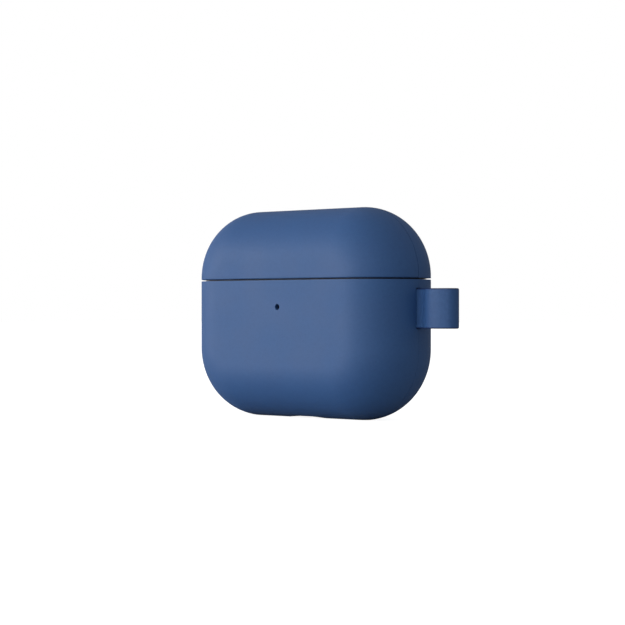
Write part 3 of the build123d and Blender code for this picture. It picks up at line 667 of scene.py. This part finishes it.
def magnet_nickel(sizes, colours):
    """Neodymium magnet, nickel plated: a bright plating with the soft mottle of a tumbled block."""
    material, tree, place = start("Neodymium magnet, nickel plated")
    mottle = cloudy(tree, place, 0.8 * MM, detail=4.0)
    tones = (linear("BDBDBB"), linear("D2D1CE"))
    finish(tree, mottle, tones, (0.12, 0.24), mottle, 0.002 * MM, Metallic=1.0)
    return material


def shield_tin(sizes, colours):
    """Steel sheet, stamped and tin plated: pale, with faint rolling lines."""
    material, tree, place = start("Steel sheet, tin plated", stretch=(1, 1, 0.05))
    lines = cloudy(tree, place, 0.1 * MM, detail=3.0)
    tones = (linear("B4B6B8"), linear("CBCCCD"))
    finish(tree, lines, tones, (0.28, 0.4), lines, 0.001 * MM, Metallic=1.0)
    return material


# ---------------------------------------------------------------- the electronics' materials


def solder_mask(sizes, colours):
    """Glass-epoxy board under a green solder mask: buried copper tracks show paler, vias darker."""
    material, tree, place = start("Glass-epoxy board, solder mask")
    tracks = add_node(
        tree, "ShaderNodeTexBrick", {"Vector": place, "Scale": 1 / (1.6 * MM), "Mortar Size": 0.06},
    ).outputs["Fac"]
    vias = add_node(tree, "ShaderNodeTexVoronoi", {"Vector": place, "Scale": 1 / (1.1 * MM)})
    via = {"Value": vias.outputs["Distance"], "From Min": 0.16, "From Max": 0.1}
    dots = add_node(tree, "ShaderNodeMapRange", via).outputs[0]
    tones = []
    for mask in (colours.mask, linear("2B6A48")):
        drilled = {"Fac": dots, "Color1": mask, "Color2": linear("0F2E1F")}
        tones.append(add_node(tree, "ShaderNodeMixRGB", drilled).outputs[0])
    finish(tree, tracks, tones, (0.3, 0.24), tracks, 0.01 * MM, IOR=1.5)
    return material


def chip_epoxy(sizes, colours):
    """Epoxy moulding compound: black and matt, with silica filler as a fine grey sparkle."""
    material, tree, place = start("Epoxy moulding compound")
    filler = cloudy(tree, place, 0.08 * MM, detail=5.0)
    tones = (linear("151618"), linear("26282A"))
    finish(tree, filler, tones, (0.5, 0.66), filler, 0.003 * MM, IOR=1.55)
    return material


def switch_nylon(sizes, colours):
    """Glass-filled nylon, moulded: warm off-white with pale fibres lying all ways."""
    material, tree, place = start("Nylon, glass filled, moulded", stretch=(1, 0.2, 1))
    fibres = cloudy(tree, place, 0.1 * MM, detail=3.0)
    tones = (linear("BDBBB2"), linear("D2D0C8"))
    finish(tree, fibres, tones, (0.45, 0.6), fibres, 0.003 * MM, IOR=1.53)
    return material


def battery_foil(sizes, colours):
    """Aluminium laminate pouch: silver-grey with the shallow wrinkles of a vacuum-sealed bag."""
    material, tree, place = start("Aluminium laminate pouch")
    folds = cloudy(tree, place, 2.4 * MM, detail=5.0)
    tones = (linear("97999C"), linear("B9BBBD"))
    finish(tree, folds, tones, (0.3, 0.46), folds, 0.06 * MM, Metallic=1.0)
    return material


def adhesive_foam(sizes, colours):
    """Acrylic foam tape: black and dull, with open cells on its cut sides."""
    material, tree, place = start("Acrylic foam tape")
    cells = add_node(tree, "ShaderNodeTexVoronoi", {"Vector": place, "Scale": 1 / (0.18 * MM)})
    depth = cells.outputs["Distance"]
    tones = (linear("17181A"), linear("2B2D30"))
    finish(tree, depth, tones, (0.8, 0.95), depth, 0.03 * MM, IOR=1.48)
    return material


def wire_silicone(sizes, colours):
    """Silicone wire sleeve, extruded: a red with a waxy shine and faint draw lines."""
    material, tree, place = start("Silicone sleeve, extruded", stretch=(1, 0.05, 1))
    lines = cloudy(tree, place, 0.06 * MM)
    tones = (linear("93221C"), linear("AE2F27"))
    finish(tree, lines, tones, (0.38, 0.5), lines, 0.002 * MM, IOR=1.41)
    return material


def flex_polyimide(sizes, colours):
    """Polyimide flexible circuit: amber film over darker copper strips that run along it."""
    material, tree, place = start("Polyimide flexible circuit")
    strips = add_node(
        tree, "ShaderNodeTexWave", {"Vector": place, "Scale": WAVE / (0.6 * MM)}, bands_direction="X"
    ).outputs["Fac"]
    tones = (linear("A9641F"), linear("7A3F12"))
    finish(tree, strips, tones, (0.2, 0.3), strips, 0.01 * MM, IOR=1.7)
    return material


def led_ceramic(sizes, colours):
    """Light emitting diode in a white moulded body, its window yellow with phosphor."""
    material, tree, place = start("White moulded diode body")
    centred = add_node(tree, "ShaderNodeMapping", {"Vector": place, "Location": (0, 0, -LIGHT_CENTRE.z)})
    flattened = {0: centred.outputs[0], 1: (1, 0, 1)}
    flat = add_node(tree, "ShaderNodeVectorMath", flattened, operation="MULTIPLY")
    reach = add_node(tree, "ShaderNodeVectorMath", {0: flat.outputs[0]}, operation="LENGTH")
    window = {"Value": reach.outputs["Value"], "From Min": 0.55 * MM, "From Max": 0.5 * MM}
    share = add_node(tree, "ShaderNodeMapRange", window).outputs[0]
    tones = (linear("E6E4DC"), linear("D9C65A"))
    finish(tree, share, tones, (0.45, 0.2), share, -0.02 * MM, IOR=1.5)
    return material


def smoked_pipe(sizes, colours):
    """Polycarbonate light pipe, smoke tinted: it hides the light behind it until that is lit."""
    material, tree, place = start("Polycarbonate light pipe, smoke tint")
    cloud = cloudy(tree, place, 0.3 * MM)
    tones = (linear("0A0E18"), linear("131A28"))
    finish(tree, cloud, tones, (0.18, 0.26), cloud, 0.001 * MM, IOR=1.58, Coat_Weight=0.3)
    return material


def coil_copper(sizes, colours):
    """Enamelled copper wire, wound flat: each turn is a rounded ring with a clear amber coat."""
    material, tree, place = start("Enamelled copper wire")
    moved = {"Vector": place, "Location": (0, 0, -BUTTON_CENTRE.z)}
    centred = add_node(tree, "ShaderNodeMapping", moved)
    strands = add_node(
        tree, "ShaderNodeTexWave", {"Vector": centred.outputs[0], "Scale": WAVE / (0.16 * MM)},
        wave_type="RINGS", rings_direction="Y",
    ).outputs["Fac"]
    tones = (linear("8A4524"), colours.copper)
    finish(tree, strands, tones, (0.22, 0.34), strands, 0.02 * MM, Metallic=1.0, Coat_Weight=0.5)
    return material


def sintered_ferrite(sizes, colours):
    """Sintered ferrite sheet: charcoal, dull, with a powdery grain."""
    material, tree, place = start("Ferrite, sintered")
    grains = cloudy(tree, place, 0.1 * MM, detail=4.0)
    tones = (linear("2C2D30"), linear("424346"))
    finish(tree, grains, tones, (0.6, 0.75), grains, 0.006 * MM, IOR=2.0)
    return material


FINISHES = {
    "cover_skin": coated_microfibre,
    "cover_strap": strap_microfibre,
    "cover_frame": cover_polycarbonate,
    "case_shell": shell_polycarbonate,
    "case_insert": insert_abs,
    "button_plastic": button_abs,
    "hinge_steel": hinge_steel,
    "screw_steel": screw_steel,
    "gold_plate": contact_gold,
    "magnet_nickel": magnet_nickel,
    "shield_tin": shield_tin,
    "circuit_board": solder_mask,
    "chip_epoxy": chip_epoxy,
    "switch_plastic": switch_nylon,
    "battery_foil": battery_foil,
    "adhesive_foam": adhesive_foam,
    "wire_sleeve": wire_silicone,
    "flex_film": flex_polyimide,
    "led_body": led_ceramic,
    "light_pipe": smoked_pipe,
    "coil_copper": coil_copper,
    "ferrite": sintered_ferrite,
}


@cache
def material_for(slot):
    """The material for one of the record's slots, made the first time that it is asked for."""
    return FINISHES[slot](bpy.context.scene.cover_sizes, bpy.context.scene.case_colours)


def dress(piece, material):
    """The material is the piece's only one."""
    piece.data.materials.clear()
    piece.data.materials.append(material)


def stands_for(piece, node, material=None):
    """The finished piece shows instead of a CAD node, with that node's body and finish."""
    slot = SLOT_OF[node]
    dress(piece, material or material_for(slot))
    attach(piece, BODY_OF[node])
    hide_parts(node)


def moulded_copy(node, name, degrees=30):
    """A CAD node's own shape as one joined, smooth-shaded mesh."""
    clear_selection()
    piece = bpy.data.objects.new(name, frame["nodes"][node].data.copy())
    piece.data.name = name
    bpy.context.scene.collection.objects.link(piece)
    edit(piece)
    bpy.ops.mesh.select_all(action="SELECT")
    bpy.ops.mesh.remove_doubles(threshold=WELD / 100)
    bpy.ops.mesh.dissolve_degenerate(threshold=WELD / 100)
    done()
    smooth(piece, degrees)
    return piece


# ---------------------------------------------------------------- the studio


def studio_floor():
    """A plain pale floor, wide enough that its far edge is lost in the surround."""
    clear_selection()
    bpy.ops.mesh.primitive_plane_add(size=FLOOR_SIZE, location=(0, 0, CAD_BOX[0].z - WELD))
    floor = named("studio_floor")
    settle(floor)
    material, tree, place = start("Studio floor, pale card")
    fibres = cloudy(tree, place, 4 * MM)
    shades = {"Fac": fibres, "Color1": linear("BABABA"), "Color2": linear("BEBEBE")}
    card = add_node(tree, "ShaderNodeMixRGB", shades).outputs[0]
    seen = add_node(tree, "ShaderNodeLightPath").outputs["Is Camera Ray"]
    matt = add_node(tree, "ShaderNodeBsdfDiffuse", {"Color": card})
    glow = add_node(tree, "ShaderNodeEmission", {"Strength": FLOOR_GLOW})
    lit = add_node(tree, "ShaderNodeAddShader", {0: matt.outputs[0], 1: glow.outputs[0]})
    surface = add_node(tree, "ShaderNodeMixShader", {0: seen, 1: matt.outputs[0], 2: lit.outputs[0]})
    add_node(tree, "ShaderNodeOutputMaterial", {"Surface": surface.outputs[0]})
    dress(floor, material)


def studio_lights():
    """Soft boxes, each given by its direction, distance, width, height and power."""
    for name, azimuth, elevation, distance, width, height, power in SOFT_BOXES:
        clear_selection()
        back = back_vector(azimuth, elevation)
        bpy.ops.object.light_add(type="AREA", location=CAMERA_AIM + back * distance)
        lamp = bpy.context.object
        lamp.name = name
        lamp.rotation_euler = back.to_track_quat("Z", "Y").to_euler()
        lamp.data.shape = "RECTANGLE"
        lamp.data.size, lamp.data.size_y = width, height
        lamp.data.energy = power


def studio_surround(scene):
    """White wherever the camera sees it. As light it is a soft fill, strongest from the front."""
    scene.world = bpy.data.worlds.new("studio_surround")
    scene.world.use_nodes = True
    tree = scene.world.node_tree
    tree.nodes.clear()
    seen = add_node(tree, "ShaderNodeLightPath").outputs["Is Camera Ray"]
    way = add_node(tree, "ShaderNodeTexCoord").outputs["Generated"]
    pair = {0: way, 1: back_vector(FILL_AZIMUTH, 0)}
    toward = add_node(tree, "ShaderNodeVectorMath", pair, operation="DOT_PRODUCT")
    ends = {"From Min": -1.0, "To Min": FILL_BACK, "To Max": FILL_FRONT}
    spread = {"Value": toward.outputs["Value"], **ends}
    strength = add_node(tree, "ShaderNodeMapRange", spread).outputs[0]
    fill = add_node(tree, "ShaderNodeBackground", {"Color": (1, 1, 1, 1), "Strength": strength})
    white = add_node(tree, "ShaderNodeBackground", {"Color": (1, 1, 1, 1), "Strength": 1.0})
    both = add_node(tree, "ShaderNodeMixShader", {0: seen, 1: fill.outputs[0], 2: white.outputs[0]})
    add_node(tree, "ShaderNodeOutputWorld", {"Surface": both.outputs[0]})
    scene.view_settings.view_transform = "Standard"


def back_vector(azimuth, elevation):
    """The direction from the object to where a view stands, for angles in degrees."""
    turn, rise = math.radians(azimuth), math.radians(elevation)
    return Vector((math.sin(turn) * math.cos(rise), -math.cos(turn) * math.cos(rise), math.sin(rise)))


def studio_camera(scene):
    """A long lens at the height of the case's middle, looking at its front and its strap side."""
    back = back_vector(CAMERA_AZIMUTH, CAMERA_ELEVATION)
    bpy.ops.object.camera_add(location=CAMERA_AIM + back * CAMERA_DISTANCE)
    camera = bpy.context.object
    camera.name = "studio_camera"
    camera.rotation_euler = back.to_track_quat("Z", "Y").to_euler()
    camera.data.lens = CAMERA_LENS
    camera.data.clip_start, camera.data.clip_end = 1 * MM, 20.0
    scene.camera = camera


# ---------------------------------------------------------------- the operators


class EARBUDSCASE_OT_cover_skins(bpy.types.Operator):
    """Makes the four soft skins of the cover, with their turned rims, seams and openings"""

    bl_idname = "earbudscase.cover_skins"
    bl_label = "Cover Skins"

    def execute(self, context):
        for zone in ("body", "lid"):
            for half, way in (("front", -1), ("rear", 1)):
                piece = cover_skin(f"{half}_skin_{zone}", zone, way, context.scene.cover_sizes)
                stands_for(piece, f"cover_{zone}_{half}_skin")
        return {"FINISHED"}


class EARBUDSCASE_OT_strap(bpy.types.Operator):
    """Makes the folded strap loop at the side"""

    bl_idname = "earbudscase.strap"
    bl_label = "Strap"

    def execute(self, context):
        stands_for(strap_band("strap_band", context.scene.cover_sizes), "strap_loop")
        return {"FINISHED"}


class EARBUDSCASE_OT_moulded_parts(bpy.types.Operator):
    """Gives the moulded parts of the cover and the case their smooth surfaces and finishes"""

    bl_idname = "earbudscase.moulded_parts"
    bl_label = "Moulded Parts"

    def execute(self, context):
        for node in MOULDED:
            stands_for(moulded_copy(node, f"{node}_moulding"), node)
        return {"FINISHED"}


class EARBUDSCASE_OT_hinge(bpy.types.Operator):
    """Gives the hinge, its pin, spring and screws their smooth surfaces and finishes"""

    bl_idname = "earbudscase.hinge"
    bl_label = "Hinge"

    def execute(self, context):
        wire = spring_steel(context.scene.cover_sizes, context.scene.case_colours)
        for node in HINGE:
            material = wire if node == "hinge_spring" else None
            stands_for(moulded_copy(node, f"{node}_metal"), node, material)
        return {"FINISHED"}


class EARBUDSCASE_OT_contacts(bpy.types.Operator):
    """Gives the spring contacts and the charging socket their smooth surfaces and finishes"""

    bl_idname = "earbudscase.contacts"
    bl_label = "Contacts"

    def execute(self, context):
        for node in CONTACTS:
            stands_for(moulded_copy(node, f"{node}_metal"), node)
        return {"FINISHED"}


class EARBUDSCASE_OT_inner_finishes(bpy.types.Operator):
    """Gives every part that keeps its CAD shape its material"""

    bl_idname = "earbudscase.inner_finishes"
    bl_label = "Inner Finishes"

    def execute(self, context):
        for node, piece in frame["nodes"].items():
            dress(piece, material_for(SLOT_OF[node]))
        return {"FINISHED"}


class EARBUDSCASE_OT_studio(bpy.types.Operator):
    """Sets the pale floor, the soft lights, the white surround and the camera"""

    bl_idname = "earbudscase.studio"
    bl_label = "Studio"

    def execute(self, context):
        studio_floor()
        studio_lights()
        studio_surround(context.scene)
        studio_camera(context.scene)
        return {"FINISHED"}


# ---------------------------------------------------------------- the add-on

STEPS = (
    EARBUDSCASE_OT_cover_skins,
    EARBUDSCASE_OT_strap,
    EARBUDSCASE_OT_moulded_parts,
    EARBUDSCASE_OT_hinge,
    EARBUDSCASE_OT_contacts,
    EARBUDSCASE_OT_inner_finishes,
    EARBUDSCASE_OT_studio,
)


class EARBUDSCASE_PT_panel(bpy.types.Panel):
    """Lists the sizes, the colours and the steps that build the case"""

    bl_idname = "EARBUDSCASE_PT_panel"
    bl_label = "Earbuds Case"
    bl_space_type = "VIEW_3D"
    bl_region_type = "UI"
    bl_category = "Earbuds Case"

    def draw(self, context):
        layout = self.layout
        for group in (context.scene.cover_sizes, context.scene.case_colours):
            box = layout.box()
            for key in group.__annotations__:
                box.prop(group, key)
        for step in STEPS:
            layout.operator(step.bl_idname)


CLASSES = (CoverSizes, CaseColours, *STEPS, EARBUDSCASE_PT_panel)


def register():
    """Adds the classes, and the sizes and colours on the scene."""
    for each in CLASSES:
        bpy.utils.register_class(each)
    bpy.types.Scene.cover_sizes = PointerProperty(type=CoverSizes)
    bpy.types.Scene.case_colours = PointerProperty(type=CaseColours)


def unregister():
    """Takes away what register added."""
    del bpy.types.Scene.case_colours
    del bpy.types.Scene.cover_sizes
    for each in reversed(CLASSES):
        bpy.utils.unregister_class(each)


def main():
    """Builds every piece in order."""
    register()
    for step in STEPS:
        family, name = step.bl_idname.split(".")
        getattr(getattr(bpy.ops, family), name)()


if __name__ == "__main__":
    main()
